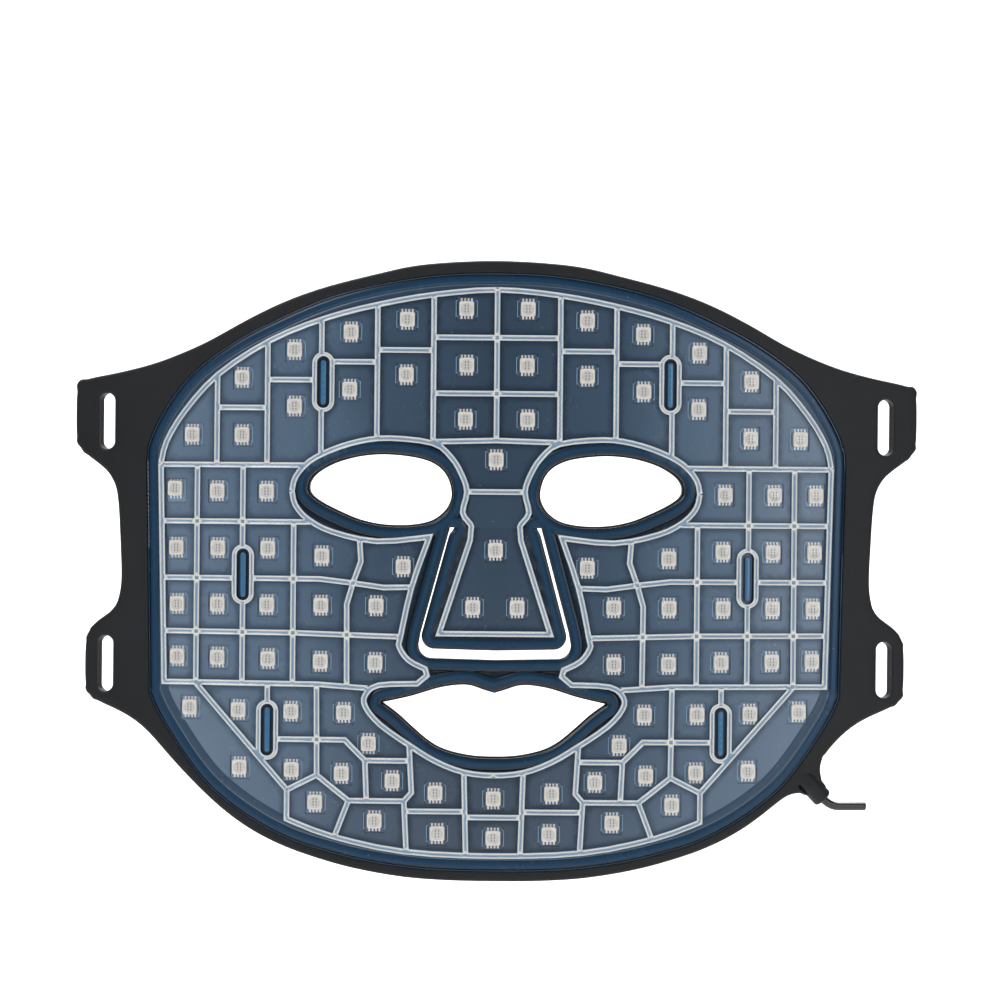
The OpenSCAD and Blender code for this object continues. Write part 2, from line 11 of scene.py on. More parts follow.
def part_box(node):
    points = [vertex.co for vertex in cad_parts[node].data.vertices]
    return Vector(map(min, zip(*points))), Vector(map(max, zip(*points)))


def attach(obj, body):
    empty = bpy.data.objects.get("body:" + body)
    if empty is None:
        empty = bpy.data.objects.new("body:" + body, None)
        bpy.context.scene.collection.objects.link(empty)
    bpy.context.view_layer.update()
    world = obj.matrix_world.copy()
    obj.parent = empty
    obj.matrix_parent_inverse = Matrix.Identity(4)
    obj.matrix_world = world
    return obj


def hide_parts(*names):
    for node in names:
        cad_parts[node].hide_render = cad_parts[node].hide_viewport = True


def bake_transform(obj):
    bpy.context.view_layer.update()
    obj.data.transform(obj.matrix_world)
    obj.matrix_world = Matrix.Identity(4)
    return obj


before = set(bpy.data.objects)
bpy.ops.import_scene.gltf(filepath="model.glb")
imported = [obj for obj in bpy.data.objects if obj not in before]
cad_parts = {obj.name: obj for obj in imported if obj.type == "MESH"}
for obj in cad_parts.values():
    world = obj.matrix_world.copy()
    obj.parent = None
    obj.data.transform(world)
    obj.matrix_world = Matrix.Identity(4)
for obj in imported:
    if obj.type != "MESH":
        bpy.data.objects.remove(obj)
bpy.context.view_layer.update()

# Flat profiles lie in X and Z (mm), and depth runs through the sheet: 0 at mid thickness,
# negative towards the LED side. The sheet is bowed about Z, with a flat bridge in its middle.
MM = 0.001
BOW_R = 320.0
BRIDGE = 26.0
SHELL_FRONT = -2.0
SHELL_BACK = 2.0
RECESS = 0.1
LINER_FRONT = -1.1
LINER_BACK = -0.25
GRID_BACK = -1.12
GRID_FRONT = -2.3
HINGE_Z = 119.45
ORIGIN_Y = GRID_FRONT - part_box("cell_grid")[0].y / MM

# The cable's axis leaves the lower right edge at 45 degrees below level
CABLE_AT = (104.0, 36.8)
CABLE_DROP = math.radians(45)
CABLE_Y = 0.3
CABLE_R = 1.45
BOOT_R = 3.4
BOOT_END = 12.2
SWIVEL = 12.7
CABLE_BEND_R = 7.5
CABLE_RUN = 9.2


# ---- the bowed sheet ----

def sheet_y(x, depth):
    past = np.maximum(0.0, np.abs(x) - BRIDGE)
    return BOW_R - np.sqrt((BOW_R - depth) ** 2 - past ** 2) - ORIGIN_Y


def sheet_depth(x, y):
    past = np.maximum(0.0, np.abs(x) - BRIDGE)
    return BOW_R - np.hypot(past, BOW_R - (y + ORIGIN_Y))


def on_sheet(x, z):
    """Matrix that puts a piece drawn about the origin, in mm, on the sheet and square to it."""
    tilt = math.copysign(math.asin(max(0.0, abs(x) - BRIDGE) / BOW_R), x)
    place = Matrix.Translation(Vector((x, float(sheet_y(x, 0.0)), z)) * MM)
    return place @ Matrix.Rotation(tilt, 4, "Z") @ Matrix.Scale(MM, 4)


def cable_frame():
    """The cable's own frame: +X along its axis out of the mask, +Y through the sheet."""
    return on_sheet(*CABLE_AT) @ Matrix.Rotation(CABLE_DROP, 4, "Y")


# ---- outlines ----

def area(loop):
    x, z = loop[:, 0], loop[:, 1]
    return 0.5 * float(np.sum(x * np.roll(z, -1) - np.roll(x, -1) * z))


def chain(edges, points):
    """Loops of points from directed edges, largest first."""
    following = {}
    for a, b in edges:
        following.setdefault(a, []).append(b)
    loops = []
    while following:
        here = next(iter(following))
        loop = []
        while here in following:
            loop.append(here)
            ahead = following[here].pop()
            if not following[here]:
                del following[here]
            here = ahead
        loop = simpler(points[loop])
        if len(loop) > 2:
            loops.append(loop)
    return sorted(loops, key=lambda lo: -abs(area(lo)))


def simpler(loop, tol=0.008):
    """Drops points that lie on the straight line between the points kept round them."""
    kept = [0]
    for i in range(1, len(loop)):
        start, end = loop[kept[-1]], loop[(i + 1) % len(loop)]
        chord, arm = end - start, loop[kept[-1] + 1:i + 1] - start
        off = np.abs(chord[0] * arm[:, 1] - chord[1] * arm[:, 0]) / max(np.hypot(*chord), 1e-6)
        if off.max() > tol or np.hypot(*chord) < np.hypot(*arm[-1]):
            kept.append(i)
    return loop[kept]


def node_loops(node, depth, tol=0.05):
    """Outlines of a CAD node's surface at one depth through the sheet."""
    bm = bmesh.new()
    bm.from_mesh(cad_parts[node].data)
    bmesh.ops.remove_doubles(bm, verts=bm.verts, dist=3e-6)
    bm.verts.index_update()
    co = np.array([v.co for v in bm.verts]) / MM
    at_depth = np.abs(sheet_depth(co[:, 0], co[:, 1]) - depth) < tol
    edges = {}
    for face in bm.faces:
        ids = [v.index for v in face.verts]
        if all(at_depth[ids]):
            for a, b in zip(ids, ids[1:] + ids[:1]):
                if not edges.pop((b, a), None):
                    edges[(a, b)] = True
    bm.free()
    loops = chain(edges, co[:, [0, 2]])
    return loops if area(loops[0]) > 0 else [lo[::-1] for lo in loops]


def resample(loop, step):
    """Splits long edges so that no edge is longer than step."""
    out = []
    for a, b in zip(loop, np.roll(loop, -1, 0)):
        n = max(1, math.ceil(np.hypot(*(b - a)) / step))
        out.extend(a + (b - a) * k / n for k in range(n))
    return np.array(out)


class Walls:
    """Distances to outlines. Edges along the nose hinge don't count when open_hinge is set."""

    def __init__(self, loops, open_hinge=False):
        points, quads = [], []
        for loop in loops:
            for a, b in zip(loop, np.roll(loop, -1, 0)):
                along_hinge = abs(a[1] - HINGE_Z) < 0.06 and abs(b[1] - HINGE_Z) < 0.06
                if open_hinge and along_hinge:
                    continue
                n = len(points)
                points += [(a[0], a[1], -1), (b[0], b[1], -1), (b[0], b[1], 1), (a[0], a[1], 1)]
                quads.append((n, n + 1, n + 2, n + 3))
        self.tree = BVHTree.FromPolygons(points, quads)

    def distance(self, points):
        return np.array([self.tree.find_nearest((p[0], p[1], 0.0))[3] for p in points])


def inside(points, loops):
    """Even-odd test of each point against the loops."""
    odd = np.zeros(len(points), bool)
    for loop in loops:
        a, b = loop, np.roll(loop, -1, 0)
        rises = (a[:, 1] > points[:, 1, None]) != (b[:, 1] > points[:, 1, None])
        height = np.where(b[:, 1] == a[:, 1], 1e-9, b[:, 1] - a[:, 1])
        cross = (b[:, 0] - a[:, 0]) * (points[:, 1, None] - a[:, 1]) / height + a[:, 0]
        odd ^= (rises & (points[:, 0, None] < cross)).sum(1) % 2 == 1
    return odd


def union(groups):
    """Outline of everything that lies inside any of the groups of loops."""
    points, edges = [], []
    for loop in (lo for group in groups for lo in group):
        n = len(points)
        points += [Vector(p) for p in loop]
        edges += [(n + i, n + (i + 1) % len(loop)) for i in range(len(loop))]
    verts, _, faces, _, _, _ = delaunay_2d_cdt(points, edges, [], 0, 1e-4)
    flat = np.array([(v.x, v.y) for v in verts])
    middle = flat[np.array(faces)].mean(1)
    keep = np.zeros(len(faces), bool)
    for group in groups:
        keep |= inside(middle, group)
    border = {}
    for face, kept in zip(faces, keep):
        if kept:
            for a, b in zip(face, face[1:] + face[:1]):
                if not border.pop((b, a), None):
                    border[(a, b)] = True
    return chain(border, flat)


def shifted(loop, gap):
    """The loop moved to its left by a gap, along each vertex's normal."""
    e1, e2 = loop - np.roll(loop, 1, 0), np.roll(loop, -1, 0) - loop
    e1 = e1 / np.maximum(np.hypot(*e1.T), 1e-9)[:, None]
    e2 = e2 / np.maximum(np.hypot(*e2.T), 1e-9)[:, None]
    n = np.stack([-(e1 + e2)[:, 1], (e1 + e2)[:, 0]], 1)
    return loop + n * gap / np.maximum(np.hypot(*n.T), 1e-9)[:, None]


def obround(centre, width, length, n=10):
    """Upright slot shape round a centre."""
    turns = np.linspace(0, math.pi, n + 1)
    arc = np.stack([np.cos(turns), np.sin(turns)], 1) * width / 2
    up = np.array([0, (length - width) / 2])
    return np.vstack([arc + up, -arc - up]) + centre


def smoothstep(t):
    return t * t * (3 - 2 * t)


def rounded(dist, r):
    """Drop of a surface near its edge, for an edge rounded to radius r."""
    t = np.clip(1 - dist / r, 0, 1)
    return r * (1 - np.sqrt(1 - t ** 2))


def hump(dist, start, end, height):
    """Height of a pillow-shaped band between two distances."""
    t = np.clip((dist - start) / (end - start), 0, 1)
    return height * np.sqrt(np.maximum(0.0, 1 - (2 * t - 1) ** 4))


# ---- building sheets ----

def add(name, mesh, angle=38):
    obj = bpy.data.objects.new(name, mesh)
    bpy.context.scene.collection.objects.link(obj)
    mesh.shade_smooth()
    mesh.set_sharp_from_angle(angle=math.radians(angle))
    return obj


def sheet(name, loops, front, back, step=2.6, rings=(0.12, 0.35, 0.7), edge_step=1.5, extra=(),
          lines=(), values=None, back_round=0.0, open_hinge=False, region=None, lean=0.0):
    """Closed solids between two depths inside the loops. front gives the depth at each point.

    rings are distances from the edges that get points of their own, extra loops and lines are
    kept as edges, values are attributes, and region sorts triangles into separate objects.
    lean is the thickness over which the side walls stand square to the bowed sheet.
    """
    loops = [resample(lo, edge_step) for lo in loops]
    extra = [resample(lo, edge_step) for lo in extra]
    walls = Walls(loops, open_hinge)
    every = Walls(loops + extra)
    low, high = np.vstack(loops).min(0), np.vstack(loops).max(0)
    across, upward = (np.arange(low[i] + step / 3, high[i], step) for i in (0, 1))
    gx, gz = np.meshgrid(across, upward)
    gx = gx + (np.arange(gx.shape[0]) % 2)[:, None] * step / 2
    grid = np.stack([gx.ravel(), gz.ravel()], 1)
    picked = [grid[every.distance(grid) > max(step * 0.4, rings[-1] * 1.3)]]
    for r in rings:
        sides = [shifted(lo, r) for lo in loops] + [shifted(lo, s * r) for lo in extra for s in (-1, 1)]
        ring = np.vstack(sides)
        picked.append(ring[every.distance(ring) > r * 0.94])
    points, edges = [], []
    for lo in loops + extra:
        n = len(points)
        points += [Vector(p) for p in lo]
        edges += [(n + i, n + (i + 1) % len(lo)) for i in range(len(lo))]
    own_edges = sum(len(lo) for lo in loops)
    for line in lines:
        n = len(points)
        points += [Vector(p) for p in line]
        edges += [(n + i, n + i + 1) for i in range(len(line) - 1)]
    points += [Vector(p) for p in np.vstack(picked)]
    verts, out_edges, faces, _, edge_from, _ = delaunay_2d_cdt(points, edges, [], 0, 1e-5)
    flat = np.array([(v.x, v.y) for v in verts])
    real = {frozenset(e) for e, source in zip(out_edges, edge_from)
            if any(s < own_edges for s in source)}
    faces = np.array([faces[i] for i in fill_inside(faces, real)])
    label = region(flat[faces].mean(1)) if region else np.zeros(len(faces), int)
    made = [sheet_solid(f"{name}_{part}" if region else name, flat, faces[label == part], front, back,
                        walls, values or {}, back_round, lean) for part in np.unique(label)]
    return made if region else made[0]


def fill_inside(faces, real):
    """Indices of the triangles inside the real edges, found by crossing them from outside."""
    beside = {}
    for i, face in enumerate(faces):
        for a, b in zip(face, face[1:] + face[:1]):
            beside.setdefault(frozenset((a, b)), []).append(i)
    state = {}
    todo = [(fs[0], e in real) for e, fs in beside.items() if len(fs) == 1]
    while todo:
        i, is_in = todo.pop()
        if i in state:
            continue
        state[i] = is_in
        face = faces[i]
        for a, b in zip(face, face[1:] + face[:1]):
            key = frozenset((a, b))
            todo.extend((j, is_in ^ (key in real)) for j in beside[key] if j not in state)
    return [i for i in range(len(faces)) if state.get(i)]


def sheet_solid(name, flat, faces, front, back, walls, values, back_round, lean):
    used = np.unique(faces)
    renumber = np.full(len(flat), -1)
    renumber[used] = np.arange(len(used))
    flat, faces = flat[used], renumber[faces]
    edge = walls.distance(flat)
    d_back = np.full(len(flat), back, float)
    if back_round:
        d_back -= rounded(edge, back_round)
    n = len(flat)
    seen = {(int(f[i]), int(f[(i + 1) % 3])) for f in faces for i in range(3)}
    rim = [(a, b) for a, b in seen if (b, a) not in seen]
    past = np.maximum(0.0, np.abs(flat[:, 0]) - BRIDGE)
    x = np.concatenate([flat[:, 0], flat[:, 0] - np.sign(flat[:, 0]) * past / BOW_R * lean])
    z = np.concatenate([flat[:, 1]] * 2)
    y = sheet_y(x, np.concatenate([front(flat, edge), d_back]))
    polys = [tuple(int(i) for i in f) for f in faces]
    polys += [(c + n, b + n, a + n) for a, b, c in polys]
    polys += [(b, a, a + n, b + n) for a, b in sorted(rim)]
    mesh = bpy.data.meshes.new(name)
    mesh.from_pydata([tuple(c) for c in np.stack([x, y, z], 1) * MM], [], polys)
    bm = bmesh.new()
    bm.from_mesh(mesh)
    bmesh.ops.recalc_face_normals(bm, faces=bm.faces)
    bm.to_mesh(mesh)
    bm.free()
    layers = {"edge": edge}
    for key, value in values.items():
        layers[key] = value(flat)
    for key, value in layers.items():
        layer = mesh.attributes.new(key, "FLOAT", "POINT")
        layer.data.foreach_set("value", np.concatenate([value, value]).astype(np.float32))
    return add(name, mesh)


# ---- materials ----

def srgb(r, g, b):
    def linear(c):
        c /= 255
        return c / 12.92 if c <= 0.04045 else ((c + 0.055) / 1.055) ** 2.4
    return linear(r), linear(g), linear(b)


class Look:
    """Short helper for building a material's node tree."""

    def __init__(self, name):
        self.mat = bpy.data.materials.new(name)
        self.mat.use_nodes = True
        self.tree = self.mat.node_tree
        self.shader = next(n for n in self.tree.nodes if n.type == "BSDF_PRINCIPLED")

    def put(self, socket, value):
        if isinstance(value, bpy.types.NodeSocket):
            self.tree.links.new(value, socket)
        elif isinstance(value, tuple) and len(value) == 3 and socket.type == "RGBA":
            socket.default_value = (*value, 1.0)
        else:
            socket.default_value = value

    def new(self, kind, **inputs):
        node = self.tree.nodes.new(kind)
        for key, value in inputs.items():
            self.put(node.inputs[key], value)
        return node

    def attribute(self, name):
        node = self.tree.nodes.new("ShaderNodeAttribute")
        node.attribute_name = name
        return node.outputs["Fac"]

    def coords(self):
        return self.tree.nodes.new("ShaderNodeTexCoord").outputs["Object"]

    def noise(self, scale, detail=3.0):
        node = self.new("ShaderNodeTexNoise", Vector=self.coords(), Scale=scale, Detail=detail)
        return node.outputs["Fac"]

    def ramp(self, fac, stops, smooth=False):
        node = self.tree.nodes.new("ShaderNodeValToRGB")
        node.color_ramp.interpolation = "EASE" if smooth else "LINEAR"
        elements = node.color_ramp.elements
        while len(elements) < len(stops):
            elements.new(1.0)
        for i, (at, colour) in enumerate(stops):
            elements[i].position = at
            elements[i].color = (*colour, 1.0)
        self.put(node.inputs["Fac"], fac)
        return node.outputs["Color"]

    def math(self, op, *values):
        node = self.tree.nodes.new("ShaderNodeMath")
        node.operation = op
        for socket, value in zip(node.inputs, values):
            self.put(socket, value)
        return node.outputs[0]

    def mix(self, fac, a, b, kind="MIX"):
        node = self.tree.nodes.new("ShaderNodeMix")
        node.data_type = "RGBA"
        node.blend_type = kind
        for i, value in ((0, fac), (6, a), (7, b)):
            self.put(node.inputs[i], value)
        return node.outputs[2]

    def bump(self, height, strength, distance):
        node = self.new("ShaderNodeBump", Height=height, Strength=strength, Distance=distance)
        return node.outputs["Normal"]

    def finish(self, **inputs):
        for key, value in inputs.items():
            self.put(self.shader.inputs[key.replace("_", " ")], value)
        return self.mat


def black_silicone():
    m = Look("black_silicone")
    cloud = m.noise(28.0, 4)
    colour = m.mix(cloud, srgb(17, 19, 22), srgb(28, 30, 33))
    return m.finish(Base_Color=colour, Roughness=m.math("MULTIPLY_ADD", cloud, 0.14, 0.44),
                    Specular_IOR_Level=0.26, Normal=m.bump(m.noise(5200.0, 2), 0.22, 0.00006))


def slate_with_painted_side_light(m):
    """Slate blue over the board, with painted light: dark in the middle of the face and paler towards the
    sides, where the bowed sheet's sides would catch the side lights; also paler towards the bottom.
    """
    split = m.new("ShaderNodeSeparateXYZ", Vector=m.coords())
    side = m.math("DIVIDE", m.math("ABSOLUTE", split.outputs["X"]), 0.118)
    up = m.math("DIVIDE", split.outputs["Z"], 0.21)
    fac = m.math("ADD", side, m.math("MULTIPLY", m.math("SUBTRACT", m.noise(22.0, 4), 0.5), 0.35))
    # Painted side light: the slate pales from the middle of the face out to the sides
    base = m.ramp(fac, [(0.0, srgb(46, 62, 78)), (0.3, srgb(58, 76, 94)), (0.62, srgb(90, 110, 130)),
                        (1.0, srgb(112, 130, 150))], True)
    low = m.ramp(up, [(0.0, srgb(96, 104, 118)), (0.3, srgb(78, 92, 108)), (0.6, srgb(52, 72, 92))], True)
    return m.mix(0.3, base, low)


def blue_silicone():
    """The liner: navy rims round the openings, a deep blue border, and slate blue between, with painted
    light: a painted highlight along each rim and a painted shadow line at its rib, a painted highlight line
    across the border, and painted shade on the slate near the ribs.
    """
    m = Look("blue_silicone")
    rim = m.attribute("rim")
    border = m.attribute("border")
    # Painted light on the rims: lighter along the middle of each pillow-shaped rim as a painted highlight,
    # darker at the opening's edge, and darkest in a line 4.2 mm out, a painted shadow at the foot of the
    # rib
    navy = m.ramp(m.math("DIVIDE", rim, 8.0), [
        (0.0, srgb(6, 16, 26)), (0.09, srgb(14, 38, 56)), (0.28, srgb(24, 58, 84)),
        (0.45, srgb(14, 38, 56)), (0.53, srgb(8, 20, 32)), (0.64, srgb(14, 34, 50)),
        (0.78, srgb(52, 70, 88))], True)
    # Painted highlight: a light line across the border 3.3 mm in, between its roll and its ledge
    edge = m.ramp(m.math("DIVIDE", border, 7.0), [
        (0.0, srgb(14, 36, 56)), (0.22, srgb(20, 56, 84)), (0.42, srgb(28, 54, 76)),
        (0.47, srgb(86, 106, 124)), (0.52, srgb(50, 70, 90)), (0.8, srgb(52, 70, 90)),
        (0.9, srgb(62, 80, 98))], True)
    slate = slate_with_painted_side_light(m)
    # Painted shade: the slate darkens towards the foot of each rib, over 2.4 mm
    near_rib = m.math("DIVIDE", m.attribute("rib"), 2.4)
    shade = m.ramp(near_rib, [(0.0, (0.55, 0.6, 0.65)), (1.0, (1, 1, 1))], True)
    slate = m.mix(1.0, slate, shade, "MULTIPLY")
    colour = m.mix(m.math("LESS_THAN", border, 6.2), slate, edge)
    colour = m.mix(m.attribute("ring"), colour, navy)
    speck = m.ramp(m.noise(700.0, 1), [(0.0, (0, 0, 0)), (0.76, (0, 0, 0)), (0.8, (0.4, 0.4, 0.4))])
    colour = m.mix(0.12, colour, speck, "ADD")
    return m.finish(Base_Color=colour, Roughness=m.math("MULTIPLY_ADD", m.noise(60.0, 4), 0.12, 0.2),
                    Coat_Weight=0.08, Coat_Roughness=0.2, Specular_IOR_Level=0.28,
                    Normal=m.bump(m.noise(140.0, 3), 0.12, 0.0004))


def clear_silicone():
    """Ribs: cream painted highlights along their rounded edges, and their middle shows the blue below."""
    m = Look("clear_silicone")
    jitter = m.math("MULTIPLY", m.math("SUBTRACT", m.noise(420.0, 2), 0.5), 0.1)
    # Painted highlights: cream bands along both rounded edges of each rib
    colour = m.ramp(m.math("ADD", m.attribute("edge"), jitter), [
        (0.0, srgb(110, 132, 150)), (0.12, srgb(178, 184, 186)), (0.26, srgb(216, 214, 208)),
        (0.48, srgb(204, 204, 202)), (0.64, srgb(134, 156, 176)), (0.95, srgb(112, 138, 162))])
    return m.finish(Base_Color=colour, Roughness=0.26, Coat_Weight=0.35, Coat_Roughness=0.1,
                    Normal=m.bump(m.noise(600.0, 2), 0.1, 0.0002))


def flex_circuit():
    """The board seen in the windows, in the slate blue of its cover film with its painted side light,
    brightened as painted light against the shade inside the windows, with faint tracks.
    """
    m = Look("flex_circuit")
    wave = m.new("ShaderNodeTexWave", Vector=m.coords(), Scale=160.0, Distortion=3.0, Detail=2.0)
    tracks = m.ramp(wave.outputs["Fac"], [(0.0, (0, 0, 0)), (0.8, (0, 0, 0)), (0.9, (1, 1, 1))])
    # Painted light: the slate is brightened about 1.9 times so that the shade inside the windows doesn't
    # show as dark frames
    slate = m.mix(1.0, slate_with_painted_side_light(m), (1.9, 1.95, 2.0), "MULTIPLY")
    colour = m.mix(m.math("MULTIPLY", tracks, 0.18), slate, srgb(120, 130, 140))
    return m.finish(Base_Color=colour, Roughness=0.35, Coat_Weight=0.2)


def stud_silicone():
    """Bonding stud: a dark pit round a raised blue core."""
    m = Look("stud_silicone")
    colour = m.ramp(m.math("DIVIDE", m.attribute("edge"), 2.0), [
        (0.0, srgb(20, 40, 58)), (0.42, srgb(22, 44, 62)), (0.56, srgb(44, 92, 130)),
        (1.0, srgb(66, 122, 160))])
    colour = m.mix(m.math("MULTIPLY", m.noise(300.0), 0.2), colour, srgb(20, 50, 80))
    return m.finish(Base_Color=colour, Roughness=0.22, Coat_Weight=0.5,
                    Normal=m.bump(m.noise(400.0), 0.1, 0.0001))


def moulded(name, low, high, scale, rough=0.4, bump=0.1, distance=0.0001, **extra):
    """A moulded or drawn surface with clouded colour, fine grain and uneven gloss."""
    m = Look(name)
    cloud = m.noise(scale, 4)
    return m.finish(Base_Color=m.mix(cloud, srgb(*low), srgb(*high)),
                    Roughness=m.math("MULTIPLY_ADD", cloud, 0.12, rough - 0.06),
                    Normal=m.bump(m.noise(scale * 9, 2), bump, distance), **extra)


MATERIALS = {
    "black": black_silicone(),
    "liner": blue_silicone(),
    "grid": clear_silicone(),
    "board": flex_circuit(),
    "stud": stud_silicone(),
    "sealant": moulded("sealant", (10, 30, 44), (22, 56, 80), 90.0, 0.16, 0.15, 0.0002, Coat_Weight=0.5),
    # Painted glint: the light blue of the strips that stand for the light on the LED windows' walls
    "window_glint": moulded("window_glint", (96, 128, 156), (140, 168, 190), 500.0, 0.3),
    "led_body": moulded("led_package", (198, 194, 188), (220, 216, 210), 900.0, 0.4, 0.2, 0.00003),
    "led_lens": moulded("led_lens", (186, 184, 178), (206, 202, 196), 1500.0, 0.14, 0.08, 0.00002,
                        Coat_Weight=0.6),
    "die": moulded("led_die", (112, 122, 136), (142, 150, 160), 2600.0, 0.25, 0.1, 0.00001),
    "lead": moulded("tinned_metal", (214, 214, 216), (248, 248, 246), 1400.0, 0.26, 0.3, 0.00004,
                    Metallic=0.1),
    "cable": moulded("cable_black", (5, 5, 6), (13, 13, 14), 120.0, 0.22, 0.1, 0.00005, Coat_Weight=0.25),
    "red": moulded("core_red", (150, 22, 20), (184, 34, 28), 300.0, 0.35),
    "core": moulded("core_black", (14, 14, 15), (30, 30, 32), 300.0, 0.35),
    "resistor": moulded("resistor", (16, 16, 17), (34, 34, 36), 700.0, 0.5),
    "solder": moulded("solder", (168, 170, 174), (206, 208, 210), 1200.0, 0.3, 0.4, 0.00005, Metallic=0.9),
    "potting": moulded("potting", (176, 176, 166), (206, 204, 192), 300.0, 0.25),
}


def dress(obj, *names):
    """Gives a piece its materials. Clearing would reset the faces' material numbers, so only a CAD
    piece, which comes with a material, is cleared."""
    if len(obj.data.materials):
        obj.data.materials.clear()
    for name in names:
        obj.data.materials.append(MATERIALS[name])
    return obj


# ---- outlines of the mask ----

def ear_bridges(ear, ear_loop, shell_loop, narrow=0.1, wide=1.6):
    """Patches that close the gap of an ear's hinge, so that shell and ear become one outline.

    narrow and wide are the least and greatest gap between the ear and the shell's edge beside it.
    """
    side = math.copysign(1, ear_loop[:, 0].mean())
    near = ear_loop[side * ear_loop[:, 0] < (side * ear_loop[:, 0]).min() + 0.08]
    e_low, e_high = near[near[:, 1].argmin()], near[near[:, 1].argmax()]
    gap = side * (e_low[0] - shell_loop[:, 0])
    level = (shell_loop[:, 1] > e_low[1] - 1) & (shell_loop[:, 1] < e_high[1] + 1)
    close = (gap > narrow) & (gap < wide) & level
    rim = shell_loop[close]
    s_low, s_high = rim[rim[:, 1].argmin()], rim[rim[:, 1].argmax()]
    low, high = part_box(ear)
    slit = low.z / MM if "upper" in ear else high.z / MM
    x0, x1 = s_low[0] - side * 0.05, e_low[0] + side * 0.6
    return [
        [np.array([s_low, e_low, e_high, s_high])],
        [np.array([(x0, slit - 0.1), (x1, slit - 0.1), (x1, slit + 0.1), (x0, slit + 0.1)])],
    ]


def eased(loop, spread=4.0, limit=0.9, step=0.6):
    """Rounds the gentle kinks of an outline; its tight corners stay as they are."""
    fine = resample(loop, step)
    shifts = range(-20, 21)
    weights = [math.exp(-0.5 * (k * step / spread) ** 2) for k in shifts]
    smooth = sum(w * np.roll(fine, k, axis=0) for k, w in zip(shifts, weights)) / sum(weights)
    far = np.linalg.norm(smooth - fine, axis=1)
    share = np.clip(2 - 2 * far / limit, 0, 1)[:, None]
    return simpler(fine + share * (smooth - fine))


def raise_top(loop):
    """Carries a flap outline's top edge up to the hinge line."""
    out = loop.copy()
    out[out[:, 1] > out[:, 1].max() - 0.05, 1] = HINGE_Z
    return out


def spread_sides(loop, left=1.0, right=0.6, start=2.5, middle=4.0, flare=180.0):
    """Brings the flap's sides nearer the shell: the left slit is thin and the right one wider."""
    out = resample(loop, 1.0)
    fall = HINGE_Z - out[:, 1]
    by = np.where(out[:, 0] < -middle, -left, np.where(out[:, 0] > middle, right, 0))
    out[:, 0] += by * (1 + fall / flare) * smoothstep(np.clip(fall / start, 0, 1))
    return out


EARS = [f"strap_ear_{level}_{side}" for level in ("upper", "lower") for side in ("left", "right")]
# Areas, in mm2, that tell the outlines of one node apart
LEAST_AREA = 5
OPENING_AREA = 400
WINDOW_AREA = (40, 56)
PIT_AREA = (56, 100)
shell_loops = node_loops("outer_shell", SHELL_BACK)
groups = [shell_loops]
for ear in EARS:
    ear_loops = node_loops(ear, SHELL_BACK)
    groups.append(ear_loops)
    groups += ear_bridges(ear, ear_loops[0], shell_loops[0])
shell_edges = [lo for lo in union(groups) if abs(area(lo)) > LEAST_AREA]
shell_edges[0] = eased(shell_edges[0])
liner_loops = node_loops("face_liner", LINER_FRONT)
liner_edge = liner_loops[0]
liner_openings = [lo for lo in liner_loops[1:] if abs(area(lo)) > OPENING_AREA]
windows = [lo for lo in liner_loops[1:] if WINDOW_AREA[0] < abs(area(lo)) < WINDOW_AREA[1]]
pits = [lo for lo in liner_loops[1:] if PIT_AREA[0] < abs(area(lo)) < PIT_AREA[1]]
grid_loops = node_loops("cell_grid", GRID_FRONT)
flap_shell_edge = spread_sides(raise_top(node_loops("nose_flap_shell", SHELL_BACK)[0]))
flap_loops = node_loops("nose_flap_liner", LINER_FRONT)
flap_edge = spread_sides(raise_top(flap_loops[0]))
flap_windows = flap_loops[1:]
flap_rib_edge = raise_top(node_loops("nose_cell_grid", GRID_FRONT)[0])


def blend_flap(obj, *nodes):
    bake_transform(obj)
    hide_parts(*nodes)


# ---- shell, ears and boot ----

# The shell's skin is split where an ear's bending starts
SPLIT_X = 122.0
SPLIT_END_X = 132.0
UPPER_FROM = 129.0
UPPER_END = 182.0
LOWER_TO = 95.0
LOWER_END = 40.0
EAR_BEND = (124.9, 132.9)
SHELL_ROUND = 0.9
RECESS_GAP = 0.7
BAY_START, BAY_END, BAY_HALF = -19.0, -3.5, 6.0
BAY_DEPTH = 1.3

recess = shifted(liner_edge, -RECESS_GAP)
recess_walls = Walls([recess])


def wire_bay():
    """Outline of the bay behind the cable, which holds the solder joints and the potting."""
    corners = [(BAY_START, -BAY_HALF), (BAY_END, -BAY_HALF), (BAY_END, BAY_HALF), (BAY_START, BAY_HALF)]
    m = cable_frame()
    placed = [m @ Vector((s, 0, w)) for s, w in corners]
    return np.array([(p.x / MM, p.z / MM) for p in placed])


bay = wire_bay()
bay_walls = Walls([bay])


def shell_front(p, edge):
    lip = recess_walls.distance(p)
    low = inside(p, [recess]) & (lip > 0.05)
    deep = inside(p, [bay]) & (bay_walls.distance(p) > 0.05)
    depth = np.where(low, RECESS, SHELL_FRONT + rounded(edge, SHELL_ROUND) + rounded(lip, 0.3))
    return np.where(deep, RECESS + BAY_DEPTH, depth)


def shell_region(middle):
    x, z = middle.T
    label = np.full(len(x), "body", dtype="<U12")
    for name, side in (("left", -1), ("right", 1)):
        label[(side * x > SPLIT_X) & (z > UPPER_FROM)] = "upper_" + name
        label[(side * x > SPLIT_X) & (z < LOWER_TO)] = "lower_" + name
    return label


def line(a, b, n=24):
    return [np.array(a) + (np.array(b) - np.array(a)) * i / n for i in range(n + 1)]


